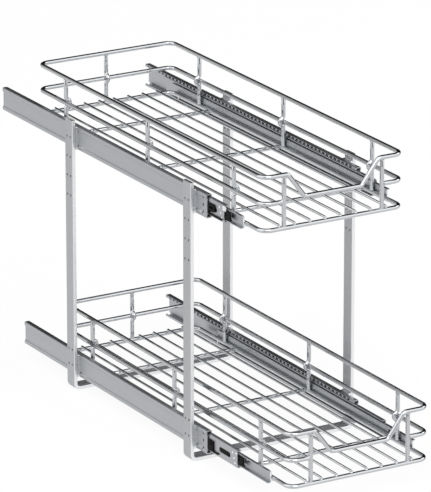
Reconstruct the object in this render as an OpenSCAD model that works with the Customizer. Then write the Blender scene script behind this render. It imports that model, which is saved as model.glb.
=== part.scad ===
// Two-tier pull-out wire basket for a kitchen cabinet.
// Origin: centre of the front frame's foot, on its underside.
// +X is right, +Y is towards the back of the cabinet, +Z is up. Millimetres.
// The baskets stand part of the way out, as far as pull_upper and pull_lower say.

/* [Basket] */
// Width of a basket between the centre lines of its side rails
basket_w = 187.5; // [150:0.5:400]
// Depth of a basket between the centre lines of its front and rear rails
basket_d = 533.5; // [460:0.5:600]
// Height of the middle rail above the bottom rail, centre to centre
middle_rail_z = 32; // [28:0.5:45]
// Height of the top rail above the bottom rail, centre to centre
top_rail_z = 64; // [56:0.5:120]
// Diameter of the rail wire
rail_wire = 5.4; // [4.5:0.1:6.5]
// Diameter of the cross wires and posts
cross_wire = 5.2; // [4:0.1:6]
// Diameter of the floor wires
floor_wire = 3.2; // [2.5:0.1:4.5]
// Bend radius of the rail corners, on the centre line
corner_r = 11; // [8:0.5:20]
// Distance between neighbouring floor wires
floor_pitch = 20.5; // [14:0.5:30]
// Smallest distance from a side rail to the first floor wire
floor_margin = 20; // [12:0.5:30]
// Distance from the front rail to the first cross wire
cross_front = 82.5; // [60:0.5:120]
// Distance from the last cross wire to the rear rail
cross_back = 96; // [76:0.5:130]
// Distance from the front rail to the first side post
side_post_front = 65.5; // [44:0.5:76]
// Distance from the last side post to the rear rail
side_post_back = 68; // [44:0.5:90]
// Distance from a side rail to the nearest front post
front_post_inset = 27.75; // [20:0.25:45]
// Distance from a front post to the top bend of the front dip
dip_gap = 5; // [3:0.5:12]
// Width of the sloping part of the front dip
dip_run = 22.5; // [14:0.5:30]
// Depth of the front dip below the top rail
dip_drop = 29.7; // [18:0.1:40]
// Bend radius of the front dip, on the centre line
small_bend_r = 7; // [5:0.5:8]

/* [Tiers] */
// Height of the lower basket's bottom rail above the cabinet floor
lower_z = 29; // [26:0.5:40]
// Height of the upper basket's bottom rail above the cabinet floor
upper_z = 321; // [240:0.5:400]
// Distance that the lower basket stands out of its closed place
pull_lower = 132; // [0:1:300]
// Distance that the upper basket stands out of its closed place
pull_upper = 70; // [0:1:300]
// Distance from the inner rail's front end to the basket's front rail
basket_overhang = 38; // [25:0.5:60]

/* [Frames] */
// Width of the flat strip that the frames are bent from
strip_w = 18; // [15:0.5:30]
// Thickness of the strip
strip_t = 4.5; // [3:0.1:6]
// Height of the uprights
frame_h = 346; // [340:1:460]
// Distance between the front and the rear frame, centre to centre
frame_gap = 284.5; // [240:0.5:320]
// Inside bend radius at the foot of an upright
foot_bend_r = 4; // [2:0.5:8]
// Distance between the two screw holes in a foot
foot_hole_gap = 140; // [80:1:170]
// Diameter of the screw holes in a foot
foot_hole_d = 4.5; // [3:0.1:6]
// Distance between the two holes of a pair in an upright
pair_gap = 8.2; // [7:0.1:9]
// Distance between hole pairs, for another basket height
pair_pitch = 24.6; // [20:0.1:32]
// Number of hole pairs for the upper basket
upper_pairs = 4; // [1:1:5]
// Height of the spare hole pair above the lower slide's own pair
lower_spare_z = 19.5; // [18:0.5:40]

/* [Slides] */
// Length of the upper slides
upper_slide_l = 500; // [420:10:550]
// Length of the lower slides
lower_slide_l = 450; // [400:10:550]
// Height of a slide
slide_h = 29; // [27:0.5:32]
// Thickness of a slide
slide_t = 9; // [9:0.1:11]
// Thickness of the spacer between a slide and its upright
spacer_t = 3; // [2:0.1:6]
// Height of the slide's middle above the basket's bottom rail
slide_lift = 2; // [0:0.5:3]
// Distance from the front frame's centre to the front end of the slides
slide_front = 32.5; // [20:0.5:60]
// Sheet thickness of the outer and inner rails
sheet_t = 1.2; // [0.8:0.1:1.4]
// Sheet thickness of the middle rail
middle_sheet_t = 1; // [0.8:0.1:1.2]
// Depth that the outer rail's web is set in
web_step = 1.2; // [0.6:0.1:1.2]
// Height of the track between the outer and the middle rail
outer_track = 2.4; // [2:0.1:2.6]
// Height of the track between the middle and the inner rail
inner_track = 2; // [1.8:0.1:2.4]
// Clearance of a ball in its track, on each side
ball_play = 0.2; // [0.1:0.05:0.3]
// Clearance between rails that slide past each other
rail_play = 0.7; // [0.5:0.1:1]
// Length of the ball cages
cage_l = 180; // [120:1:180]
// Distance between balls in a cage
ball_pitch = 18; // [9:0.5:30]
// Clearance of a ball in its hole in the cage
cage_play = 0.15; // [0.1:0.05:0.3]
// Length of the slot near the front end of the middle rail
middle_slot_l = 25.4; // [14:0.2:40]
// Height of the slot in the middle rail
middle_slot_h = 6.4; // [4:0.2:9]
// Distance from the middle rail's front end to its slot
middle_slot_y = 16; // [8:0.5:40]
// Length of the slot near the front end of the inner rail
inner_slot_l = 9; // [5:0.2:20]
// Height of the slot in the inner rail
inner_slot_h = 3; // [2:0.1:4]
// Distance from the inner rail's front end to its slot
inner_slot_y = 44.5; // [20:0.5:80]
// Height of the inner rail's slot above the slide's middle
inner_slot_lift = 3.4; // [0:0.1:3.6]
// Height of the stamped slots near the front end of the outer rail
stamp_h = 3.4; // [2:0.1:4.5]
// Width of the stamped slots
stamp_w = 2.2; // [1:0.1:4]
// Distance from the outer rail's front end to the stamped slots
stamp_y = 8; // [5:0.5:14]
// Distance from the edges of the outer rail to the upper and lower stamped slots
stamp_inset = 5.4; // [5:0.1:7]

/* [Small parts] */
// Shank diameter of the slide screws
screw_d = 3.2; // [2.5:0.1:4]
// Head diameter of the slide screws
screw_head_d = 6; // [5.5:0.1:7]
// Amount by which a screw's clearance hole is wider than its shank
screw_play = 0.3; // [0.2:0.1:0.6]
// Distance from the screw's tip to the upright's outer face
screw_short = 1; // [0.5:0.1:2]
// Length of the plastic guides' tongues
guide_l = 16; // [8:0.5:20]
// Height of the plastic guides' tongues
guide_h = 11; // [8:0.5:13]
// Thickness of the plastic guides' tongues
guide_t = 1.4; // [1:0.1:1.5]
// Length of the plastic stops in front of the middle rails
stop_l = 13.5; // [6:0.5:22]
// Height of the plastic stops in front of the middle rails
stop_h = 10; // [6:0.5:13]
// Thickness of the clips that hold a basket's rail to its slides
clip_t = 1.5; // [1:0.1:2]
// Height of the clips
clip_h = 12; // [10:0.5:14]

/* [Hidden] */
$fn = 48;
eps = 0.01;
// Bends are this much thicker than their wire, and the straights reach into them
bend_swell = 0.04;
lap = 0.1;
// Depth that welded wires sink into each other
weld = 0.3;
// Depth that other welded pieces sink in
seam = 0.05;

// Height of the slide's own hole pair above the slide's middle
screw_lift = 1.3;

// Half width to the outside of the side rails, where the slides begin
rail_side = basket_w / 2 + rail_wire / 2 - seam;
// Inner face of the uprights
upright_x = rail_side + slide_t + spacer_t;
frame_x = upright_x + strip_t;

// The slide's cross-section runs from u = 0 at its outer side to slide_t at the basket
web_u = web_step;
middle_u = web_u + sheet_t + rail_play;
middle_h = slide_h - 2 * (sheet_t + outer_track);
middle_end_u = slide_t - 0.8;
inner_h = middle_h - 2 * (middle_sheet_t + inner_track);
inner_u = slide_t - sheet_t;
inner_lip_u = middle_u + middle_sheet_t + 0.5;
outer_lip_u = slide_t - 1.6;
outer_ball_d = outer_track - 2 * ball_play;
inner_ball_d = inner_track - 2 * ball_play;
outer_ball_u = outer_lip_u - sheet_t - 1.9;
inner_ball_u = inner_lip_u + 1.2;
outer_ball_v = middle_h / 2 + outer_track / 2;
inner_ball_v = inner_h / 2 + inner_track / 2;

// How far each part of a slide has moved, as a share of its basket
outer_cage_share = 0.25;
middle_share = 0.5;
inner_cage_share = 0.75;

// Clearance between the front ends of the middle and inner rails and the outer one
middle_short = 12;
floor_z = rail_wire / 2 + floor_wire / 2 - weld;
// The cross wires lie between the side rails, just under the floor wires
cross_z = floor_z - floor_wire / 2 - cross_wire / 2 + weld;
cross_end = basket_w / 2 - rail_wire / 2 + weld;
// The middle cross wire passes this far behind the middle side posts
cross_shift = cross_wire / 2 + 1;

floor_count = floor((basket_w - 2 * floor_margin) / floor_pitch) + 1;
function floor_x(i) = (i - (floor_count - 1) / 2) * floor_pitch;

// Posts stand on the bottom rail, reach up to the top rail and step inwards round the middle one
post_foot = rail_wire / 2 - weld;
post_top = top_rail_z - rail_wire / 2 + weld;
post_in = rail_wire / 2 + cross_wire / 2 - weld;
post_bend_r = 0.7 * cross_wire;
// Posts thicker than the rails stand further in, clear of the slides
post_off = max(0, (cross_wire - rail_wire) / 2 + 2 * seam);
// A front post stands where it is wished, or else just clear of the nearest floor wire
post_clear = 0.3;
post_apart = (cross_wire + floor_wire) / 2 + post_clear;
post_wish = basket_w / 2 - front_post_inset;
near_i = min(floor_count - 1, round(post_wish / floor_pitch + (floor_count - 1) / 2));
near_x = floor_x(near_i);
post_step = post_wish < near_x ? -post_apart : post_apart;
front_post_x = abs(post_wish - near_x) < post_apart ? near_x + post_step : post_wish;
// The rear post stands midway between two floor wires
rear_post_x = floor_count % 2 == 0 ? 0 : floor_pitch / 2;
ball_count = floor((cage_l - 20) / ball_pitch) + 1;

// One entry for each tier: bottom rail height, distance pulled out, slide length
UPPER = [upper_z, pull_upper, upper_slide_l];
LOWER = [lower_z, pull_lower, lower_slide_l];

CHROME = "#d8dadd";
ZINC = "#a9abae";
PLASTIC = "#151516";

// ---- Wire helpers ----

function unit(v) = v / norm(v);
function turn_at(p, i) = acos(max(-1, min(1, unit(p[i] - p[i - 1]) * unit(p[i + 1] - p[i]))));
function cut_at(p, i, r) = r * tan(turn_at(p, i) / 2);

// A straight round wire from p to q
module rod(p, q, d) {
    v = q - p;
    translate(p)
        rotate([0, acos(v[2] / norm(v)), atan2(v[1], v[0])])
            cylinder(h = norm(v), d = d);
}

// The bend at corner i of the route p, a hair thicker than the wire it joins
module bend(p, i, r, d) {
    u = unit(p[i] - p[i - 1]);
    v = unit(p[i + 1] - p[i]);
    n = unit(cross(u, v));
    m = cross(n, u);
    c = p[i] - u * cut_at(p, i, r) + m * r;
    multmatrix([
        [-m[0], u[0], n[0], c[0]],
        [-m[1], u[1], n[1], c[1]],
        [-m[2], u[2], n[2], c[2]]
    ])
        rotate_extrude(angle = turn_at(p, i))
            translate([r, 0])
                circle(d = d + bend_swell);
}

// A wire that follows the route p, with bends of radius r at its inner points
module wire(p, r, d) {
    last = len(p) - 1;
    union() {
        for (i = [0 : last - 1]) {
            u = unit(p[i + 1] - p[i]);
            from = i == 0 ? 0 : cut_at(p, i, r) - lap;
            to = i == last - 1 ? 0 : cut_at(p, i + 1, r) - lap;
            rod(p[i] + u * from, p[i + 1] - u * to, d);
        }
        for (i = [1 : last - 1]) {
            bend(p, i, r, d);
        }
    }
}

// ---- Places ----

// Front rail of a tier's basket
function basket_front(tier) = -slide_front - basket_overhang - tier[1];

// Moves children to a tier's basket: x = 0 in the middle, y = 0 at the front rail,
// z = 0 at the bottom rail
module in_basket(tier) {
    translate([0, basket_front(tier), tier[0]]) children();
}

// Moves children to a tier's slide. There x is the distance from the slide's outer side
// towards the basket, y runs back from the front end when closed, z = 0 is mid-height.
module in_slide(tier, side, share) {
    mirror([side > 0 ? 1 : 0, 0, 0])
        translate([
            -rail_side - slide_t,
            -slide_front - share * tier[1],
            tier[0] + slide_lift
        ])
            children();
}

// ---- Baskets ----

// The bottom rail, a closed rectangle with round corners
module bottom_rail(tier) {
    x = basket_w / 2;
    d = basket_d;
    color(CHROME) in_basket(tier)
        wire([
            [0, 0, 0], [x, 0, 0], [x, d, 0], [-x, d, 0], [-x, 0, 0], [0, 0, 0]
        ], corner_r, rail_wire);
}

// The middle rail is open in front: it ends at the front posts
module middle_rail(tier) {
    x = basket_w / 2;
    d = basket_d;
    z = middle_rail_z;
    end_x = front_post_x + cross_wire / 2 - weld;
    color(CHROME) in_basket(tier)
        wire([
            [end_x, 0, z], [x, 0, z], [x, d, z], [-x, d, z], [-x, 0, z], [-end_x, 0, z]
        ], corner_r, rail_wire);
}

// The top rail dips between the front posts
module top_rail(tier) {
    x = basket_w / 2;
    d = basket_d;
    z = top_rail_z;
    dip_z = top_rail_z - dip_drop;
    high = front_post_x - dip_gap;
    low = high - dip_run;
    color(CHROME) in_basket(tier) union() {
        wire([
            [0, 0, dip_z], [low, 0, dip_z], [high, 0, z], [front_post_x, 0, z]
        ], small_bend_r, rail_wire);
        wire([
            [-front_post_x, 0, z], [-high, 0, z], [-low, 0, dip_z], [0, 0, dip_z]
        ], small_bend_r, rail_wire);
        wire([
            [front_post_x, 0, z], [x, 0, z], [x, d, z], [-x, d, z], [-x, 0, z],
            [-front_post_x, 0, z]
        ], corner_r, rail_wire);
    }
}

// Three cross wires under the floor, welded in between the side rails
module cross_wires(tier) {
    middle_y = side_middle_y() + cross_shift;
    color(CHROME) in_basket(tier)
        for (y = [cross_front, middle_y, basket_d - cross_back])
            rod([-cross_end, y, cross_z], [cross_end, y, cross_z], cross_wire);
}

// Floor wires, on top of the bottom rail and the cross wires
module floor_wires(tier) {
    color(CHROME) in_basket(tier)
        for (i = [0 : floor_count - 1])
            translate([floor_x(i), 0, floor_z])
                rod([0, 0, 0], [0, basket_d, 0], floor_wire);
}

// Route of a post from the top rail, round the inside of the middle rail, to its foot.
// The first number is the distance in from the rails' centre line.
function post_route() = [
    [post_off, post_top],
    [post_off, middle_rail_z + 1.1 * cross_wire],
    [post_in, middle_rail_z + 0.45 * cross_wire],
    [post_in, middle_rail_z - 0.45 * cross_wire],
    [post_off, middle_rail_z - 1.1 * cross_wire],
    [post_off, post_foot]
];

// A post at the back of a basket, with the rails' centre line at y = 0
module bent_post() {
    wire([for (p = post_route()) [0, -p[0], p[1]]], post_bend_r, cross_wire);
}

// The middle side posts stand midway between the first and the last ones
function side_middle_y() = (side_post_front + basket_d - side_post_back) / 2;

// Three posts along each side
module side_posts(tier) {
    color(CHROME) in_basket(tier)
        for (s = [-1, 1])
            for (y = [side_post_front, side_middle_y(), basket_d - side_post_back])
                translate([s * basket_w / 2, y, 0])
                    rotate([0, 0, -90 * s])
                        bent_post();
}

// Two straight posts beside the front dip
module front_posts(tier) {
    color(CHROME) in_basket(tier)
        for (s = [-1, 1])
            translate([s * front_post_x, 0, 0])
                rod([0, 0, post_foot], [0, 0, post_top], cross_wire);
}

// One post in the middle of the back
module rear_post(tier) {
    color(CHROME) in_basket(tier)
        translate([rear_post_x, basket_d, 0])
            bent_post();
}

// The jaw under a basket's bottom rail, with a back plate from u = back to the slide's face
module clip(back) {
    rail_u = slide_t - seam + rail_wire / 2;
    difference() {
        union() {
            translate([back, 0, -clip_h / 2])
                cube([rail_u + rail_wire / 2 - back, clip_t, clip_h / 2 - slide_lift]);
            if (back < slide_t - seam) {
                translate([back, 0, -clip_h / 2])
                    cube([slide_t - back, clip_t, clip_h]);
            }
        }
        translate([rail_u, clip_t / 2, -slide_lift])
            rotate([90, 0, 0])
                cylinder(h = 3 * clip_t, d = rail_wire - 2 * seam, center = true);
    }
}

// Clips that carry a basket: one on the front end of each inner rail, one near the back
module rail_clips(tier) {
    back_y = min(tier[2], basket_d - basket_overhang - corner_r) - 10;
    color(CHROME)
        for (side = [-1, 1])
            in_slide(tier, side, 1) {
                translate([0, -clip_t, 0]) clip(inner_u);
                translate([0, back_y, 0]) clip(slide_t - seam);
            }
}

// ---- Slides ----

// Sheet bent along a route in the u-v plane, with round outer corners
module bent_sheet(route, t, l) {
    translate([0, l, 0])
        rotate([90, 0, 0])
            linear_extrude(height = l)
                for (i = [0 : len(route) - 2]) {
                    a = route[i];
                    b = route[i + 1];
                    translate(a)
                        rotate(atan2(b[1] - a[1], b[0] - a[0]))
                            translate([0, -t / 2])
                                square([norm(b - a), t]);
                    if (i > 0) {
                        translate(a) circle(d = t);
                    }
                }
}

// A slot with round ends, long along y, through a web of thickness t
module long_hole(l, h, t) {
    rotate([90, 0, 90])
        linear_extrude(height = t) {
            translate([h / 2, -h / 2]) square([l - h, h]);
            translate([h / 2, 0]) circle(d = h);
            translate([l - h / 2, 0]) circle(d = h);
        }
}

module slide_outer(tier, side) {
    t = sheet_t;
    v = slide_h / 2 - t / 2;
    u0 = t / 2;
    lip_v = middle_h / 2 + 0.4;
    color(ZINC) in_slide(tier, side, 0)
        difference() {
            bent_sheet([
                [outer_lip_u - t / 2, lip_v], [outer_lip_u - t / 2, v], [u0, v],
                [u0, v - 3.6], [web_u + t / 2, v - 3.6 - web_step],
                [web_u + t / 2, -v + 3.6 + web_step], [u0, -v + 3.6],
                [u0, -v], [outer_lip_u - t / 2, -v], [outer_lip_u - t / 2, -lip_v]
            ], t, tier[2]);
            // Three stamped slots near the front end
            for (z = [-1, 0, 1] * (slide_h / 2 - stamp_inset))
                translate([-eps, stamp_y, z - stamp_h / 2])
                    cube([web_u + t + 2 * eps, stamp_w, stamp_h]);
            screw_sites() screw_bore();
        }
}

// Screw places of one slide, as seen from the slide's own frame
module screw_sites() {
    for (y = [slide_front, slide_front + frame_gap])
        for (s = [-1, 1])
            translate([0, y + s * pair_gap / 2, screw_lift])
                children();
}

// Clearance bore through the outer rail, countersunk on the inside for the screw's head
module screw_bore() {
    rotate([0, 90, 0]) {
        translate([0, 0, -1])
            cylinder(h = web_u + sheet_t + 2, d = screw_d + screw_play);
        translate([0, 0, web_u])
            cylinder(h = sheet_t, d1 = screw_d, d2 = screw_head_d);
        translate([0, 0, web_u + sheet_t])
            cylinder(h = 0.5, d = screw_head_d);
    }
}

module slide_middle(tier, side) {
    t = middle_sheet_t;
    v = middle_h / 2 - t / 2;
    color(ZINC) in_slide(tier, side, middle_share)
        difference() {
            bent_sheet([
                [middle_end_u, v], [middle_u + t / 2, v],
                [middle_u + t / 2, -v], [middle_end_u, -v]
            ], t, tier[2] - middle_short);
            translate([middle_u - eps, middle_slot_y, 0])
                long_hole(middle_slot_l, middle_slot_h, t + 2 * eps);
        }
}

module slide_inner(tier, side) {
    t = sheet_t;
    v = inner_h / 2 - t / 2;
    color(ZINC) in_slide(tier, side, 1)
        difference() {
            bent_sheet([
                [inner_lip_u, v], [inner_u + t / 2, v],
                [inner_u + t / 2, -v], [inner_lip_u, -v]
            ], t, tier[2]);
            translate([inner_u - eps, inner_slot_y, inner_slot_lift])
                long_hole(inner_slot_l, inner_slot_h, t + 2 * eps);
        }
}

// Front end of a cage when its slide is closed: it reaches the slide's front end
// only when the basket is all the way out
function cage_front(tier, share) = 4 + tier[2] * share * (share < 0.5 ? 1 : 1 / 3);

// Ball places along a cage, top and bottom
module ball_sites(u, v) {
    for (i = [0 : ball_count - 1])
        for (s = [-1, 1])
            translate([u, 10 + i * ball_pitch, s * v])
                children();
}

// A ball cage: two strips with a hole for each ball
module cage(tier, side, share, u, v, d, wide, high) {
    color(PLASTIC) in_slide(tier, side, share)
        translate([0, cage_front(tier, share), 0])
            difference() {
                for (s = [-1, 1])
                    translate([u - wide / 2, 0, s * v - high / 2])
                        cube([wide, cage_l, high]);
                ball_sites(u, v)
                    cylinder(h = 2 * high, d = d + 2 * cage_play, center = true);
            }
}

module outer_cage(tier, side) {
    cage(tier, side, outer_cage_share, outer_ball_u, outer_ball_v,
        outer_ball_d, outer_ball_d + 1.2, outer_track - 0.8);
}

module inner_cage(tier, side) {
    cage(tier, side, inner_cage_share, inner_ball_u, inner_ball_v,
        inner_ball_d, inner_ball_d + 1, inner_track - 0.8);
}

module balls(tier, share, u, v, d) {
    color(CHROME)
        for (side = [-1, 1])
            in_slide(tier, side, share)
                translate([0, cage_front(tier, share), 0])
                    ball_sites(u, v) sphere(d = d);
}

module outer_balls(tier) {
    balls(tier, outer_cage_share, outer_ball_u, outer_ball_v, outer_ball_d);
}

module inner_balls(tier) {
    balls(tier, inner_cage_share, inner_ball_u, inner_ball_v, inner_ball_d);
}

// Plastic guides on the front end of the outer rails
module outer_guides(tier) {
    color(PLASTIC)
        for (side = [-1, 1])
            in_slide(tier, side, 0) {
                translate([web_u, -guide_l, -guide_h / 2])
                    cube([guide_t, guide_l, guide_h]);
                translate([web_u, -2 * guide_l, -middle_h / 2])
                    cube([guide_t, 2 * guide_l, middle_h / 2 - guide_h / 2 + eps]);
            }
}

// Plastic stops on the front end of the middle rails
module middle_guides(tier) {
    color(PLASTIC)
        for (side = [-1, 1])
            in_slide(tier, side, middle_share)
                translate([middle_u, -stop_l, -stop_h / 2])
                    cube([guide_t, stop_l, stop_h]);
}

// ---- Frames ----

// Outline of a frame in the x-z plane: two uprights and a foot, bent from one strip
module frame_outline() {
    r = foot_bend_r;
    for (s = [-1, 1])
        mirror([s > 0 ? 1 : 0, 0]) {
            translate([-frame_x, r + strip_t])
                square([strip_t, frame_h - r - strip_t]);
            translate([-frame_x + strip_t + r, strip_t + r])
                intersection() {
                    difference() {
                        circle(r = r + strip_t);
                        circle(r = r);
                    }
                    translate([-r - strip_t, -r - strip_t])
                        square(r + strip_t);
                }
        }
    translate([-frame_x + strip_t + r, 0])
        square([2 * (frame_x - strip_t - r), strip_t]);
}

// Heights of the hole pairs in an upright
function pair_heights() = concat(
    [for (i = [0 : upper_pairs - 1]) upper_z + slide_lift + screw_lift - i * pair_pitch],
    [lower_z + slide_lift + screw_lift, lower_z + slide_lift + screw_lift + lower_spare_z]
);

module frame(y) {
    color(CHROME) translate([0, y, 0])
        difference() {
            translate([0, strip_w / 2, 0])
                rotate([90, 0, 0])
                    linear_extrude(height = strip_w)
                        frame_outline();
            for (z = pair_heights())
                for (s = [-1, 1])
                    translate([0, s * pair_gap / 2, z])
                        rotate([0, 90, 0])
                            cylinder(h = 2 * frame_x + 2, d = screw_d - 2 * seam, center = true);
            for (s = [-1, 1])
                translate([s * foot_hole_gap / 2, 0, -1])
                    cylinder(h = strip_t + 2, d = foot_hole_d);
        }
}

// Spacers between the uprights and the slides
module spacers(tier) {
    color(CHROME)
        for (side = [-1, 1])
            in_slide(tier, side, 0)
                difference() {
                    for (y = [slide_front, slide_front + frame_gap])
                        translate([-spacer_t, y - strip_w / 2, -slide_h / 2])
                            cube([spacer_t, strip_w, slide_h]);
                    screw_sites()
                        rotate([0, 90, 0])
                            cylinder(h = 3 * spacer_t, d = screw_d + screw_play, center = true);
                }
}

// Countersunk screws through slide and spacer into the uprights
module slide_screws(tier) {
    head_u = web_u + sheet_t;
    tip_u = -spacer_t - strip_t + screw_short;
    color(ZINC)
        for (side = [-1, 1])
            in_slide(tier, side, 0)
                screw_sites()
                    translate([tip_u, 0, 0])
                        rotate([0, 90, 0]) {
                            cylinder(h = head_u - tip_u - sheet_t, d = screw_d);
                            translate([0, 0, head_u - tip_u - sheet_t])
                                cylinder(h = sheet_t, d1 = screw_d, d2 = screw_head_d);
                        }
}

frame(0);  // front_frame
frame(frame_gap);  // rear_frame
spacers(UPPER);  // upper_spacers
spacers(LOWER);  // lower_spacers
slide_screws(UPPER);  // upper_slide_screws
slide_screws(LOWER);  // lower_slide_screws
slide_outer(UPPER, -1);  // upper_left_slide_outer
slide_outer(UPPER, 1);  // upper_right_slide_outer
slide_outer(LOWER, -1);  // lower_left_slide_outer
slide_outer(LOWER, 1);  // lower_right_slide_outer
outer_guides(UPPER);  // upper_outer_guides
outer_guides(LOWER);  // lower_outer_guides
outer_cage(UPPER, -1);  // upper_left_outer_cage
outer_cage(UPPER, 1);  // upper_right_outer_cage
outer_cage(LOWER, -1);  // lower_left_outer_cage
outer_cage(LOWER, 1);  // lower_right_outer_cage
outer_balls(UPPER);  // upper_outer_balls
outer_balls(LOWER);  // lower_outer_balls
slide_middle(UPPER, -1);  // upper_left_slide_middle
slide_middle(UPPER, 1);  // upper_right_slide_middle
slide_middle(LOWER, -1);  // lower_left_slide_middle
slide_middle(LOWER, 1);  // lower_right_slide_middle
middle_guides(UPPER);  // upper_middle_guides
middle_guides(LOWER);  // lower_middle_guides
inner_cage(UPPER, -1);  // upper_left_inner_cage
inner_cage(UPPER, 1);  // upper_right_inner_cage
inner_cage(LOWER, -1);  // lower_left_inner_cage
inner_cage(LOWER, 1);  // lower_right_inner_cage
inner_balls(UPPER);  // upper_inner_balls
inner_balls(LOWER);  // lower_inner_balls
slide_inner(UPPER, -1);  // upper_left_slide_inner
slide_inner(UPPER, 1);  // upper_right_slide_inner
slide_inner(LOWER, -1);  // lower_left_slide_inner
slide_inner(LOWER, 1);  // lower_right_slide_inner
rail_clips(UPPER);  // upper_rail_clips
rail_clips(LOWER);  // lower_rail_clips
bottom_rail(UPPER);  // upper_bottom_rail
middle_rail(UPPER);  // upper_middle_rail
top_rail(UPPER);  // upper_top_rail
bottom_rail(LOWER);  // lower_bottom_rail
middle_rail(LOWER);  // lower_middle_rail
top_rail(LOWER);  // lower_top_rail
cross_wires(UPPER);  // upper_cross_wires
cross_wires(LOWER);  // lower_cross_wires
side_posts(UPPER);  // upper_side_posts
side_posts(LOWER);  // lower_side_posts
floor_wires(UPPER);  // upper_floor_wires
floor_wires(LOWER);  // lower_floor_wires
front_posts(UPPER);  // upper_front_posts
front_posts(LOWER);  // lower_front_posts
rear_post(UPPER);  // upper_rear_post
rear_post(LOWER);  // lower_rear_post
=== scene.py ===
"""Looks for a two-tier pull-out cabinet basket: chrome wire baskets on ball-bearing slides.

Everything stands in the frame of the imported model: metres, X to the right, Y towards the back
of the cabinet, Z up. The shapes are worked out in millimetres and turned to metres once, when
a surface becomes a mesh.
"""

from __future__ import annotations

import logging
import math
from dataclasses import dataclass
from enum import Enum
from typing import Any, Iterable, Sequence

import bmesh
import bpy
import numpy as np
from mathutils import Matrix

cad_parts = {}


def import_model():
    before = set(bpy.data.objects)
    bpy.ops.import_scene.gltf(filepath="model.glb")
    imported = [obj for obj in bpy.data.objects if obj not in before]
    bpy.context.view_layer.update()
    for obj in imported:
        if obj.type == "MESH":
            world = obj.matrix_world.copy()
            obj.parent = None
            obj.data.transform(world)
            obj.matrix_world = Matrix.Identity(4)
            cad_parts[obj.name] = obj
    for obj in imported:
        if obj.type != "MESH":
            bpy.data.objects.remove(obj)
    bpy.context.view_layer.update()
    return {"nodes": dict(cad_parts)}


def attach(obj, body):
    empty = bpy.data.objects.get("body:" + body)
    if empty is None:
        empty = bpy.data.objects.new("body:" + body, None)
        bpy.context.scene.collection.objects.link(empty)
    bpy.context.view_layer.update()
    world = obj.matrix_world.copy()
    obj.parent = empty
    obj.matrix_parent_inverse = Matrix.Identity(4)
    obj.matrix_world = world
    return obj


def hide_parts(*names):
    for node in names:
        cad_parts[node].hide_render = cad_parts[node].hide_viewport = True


LOG = logging.getLogger("pull_out_basket")
MM = 0.001
X_AXIS = np.array([1.0, 0.0, 0.0])
Y_AXIS = np.array([0.0, 1.0, 0.0])
Z_AXIS = np.array([0.0, 0.0, 1.0])

Pair = tuple[float, float]
Triple = tuple[float, float, float]

# Points round a rail, a post or cross wire, and a floor wire.
RAIL_SIDES, WIRE_SIDES, FLOOR_SIDES = 28, 24, 18
# Radius of the soft edge of a cut wire end, as a share of the wire's radius.
CUT_EDGE = 0.2

# Sizes that several parts share, in millimetres: where the two frames stand, their bar's width,
# the gap between the two holes of a pair, the corner radius of punched windows, and how far a
# cutter reaches past what it cuts.
FRAME_YS = (0.0, 284.5)
STRIP_WIDTH = 18.0
HOLE_GAP = 8.2
WINDOW_CORNER = 0.5
CUT_PAST = 2.0

# Edges sharper than these angles are drawn sharp, and bevelled where a piece has a bevel.
SHARP_ANGLE, BEVEL_ANGLE = math.radians(32), math.radians(35)
BEVEL_SEGMENTS = 2


# ---------------------------------------------------------------- surfaces


@dataclass
class Surface:
    """A surface before it becomes a mesh.

    Attributes:
        points: Corner points in millimetres, one row each.
        faces: Corner numbers of each face.
        along: Two numbers a point: millimetres along the piece and across it.
        finish: Which of the piece's materials each face takes.
    """

    points: np.ndarray
    faces: list[tuple[int, ...]]
    along: np.ndarray
    finish: list[int]

    @staticmethod
    def joined(parts: Iterable["Surface"]) -> "Surface":
        """Puts several surfaces into one, with their face numbers moved on.

        Args:
            parts: The surfaces, in the order in which they are put together.

        Returns:
            One surface that holds them all.
        """
        points, faces, along, finish, start = [], [], [], [], 0
        for part in parts:
            points.append(part.points)
            along.append(part.along)
            faces += [tuple(i + start for i in face) for face in part.faces]
            finish += part.finish
            start += len(part.points)
        return Surface(np.vstack(points), faces, np.vstack(along), finish)


def unit(v: np.ndarray) -> np.ndarray:
    """Scales vectors to length 1 along their last axis."""
    return v / np.maximum(np.linalg.norm(v, axis=-1, keepdims=True), 1e-12)


def running_length(line: np.ndarray) -> np.ndarray:
    """Distance from a line's first point to each of its points, along the line."""
    return np.concatenate([[0], np.cumsum(np.linalg.norm(np.diff(line, axis=0), axis=1))])


def grid(first: np.ndarray, second: np.ndarray) -> np.ndarray:
    """Every value of the first with every value of the second, as [first, second, 2]."""
    return np.stack(np.broadcast_arrays(first[:, None], second[None, :]), -1)


def rounded_route(
    corners: Sequence[Sequence[float]],
    radii: float | Sequence[float],
    closed: bool = False,
    step: float = 7.5,
) -> np.ndarray:
    """Rounds the corners of a route.

    At each corner the arc starts r*tan(turn/2) before it and ends as far after it; its points
    are centre + r*(cos(a)*outward + sin(a)*forward), with a running from 0 to the turn.

    Args:
        corners: The route's corners.
        radii: Bend radius of every corner, or one for each.
        closed: Whether the last corner leads back to the first.
        step: Largest turn between two points, in degrees.

    Returns:
        The points of the rounded route.
    """
    c = np.asarray(corners, float)
    n = len(c)
    r = np.broadcast_to(np.asarray(radii, float), (n,))
    pieces = []
    for i in range(n):
        if not closed and i in (0, n - 1):
            pieces.append(c[i : i + 1])
            continue
        u = unit(c[i] - c[i - 1])
        v = unit(c[(i + 1) % n] - c[i])
        turn = math.acos(max(-1.0, min(1.0, float(u @ v))))
        if turn < 1e-4:
            continue
        cut = r[i] * math.tan(turn / 2)
        inward = unit(v - u * float(u @ v))
        centre = c[i] - u * cut + inward * r[i]
        a = np.linspace(0.0, turn, max(2, int(math.degrees(turn) / step) + 1))[:, None]
        pieces.append(centre - inward * r[i] * np.cos(a) + u * r[i] * np.sin(a))
    return np.vstack(pieces)


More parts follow.
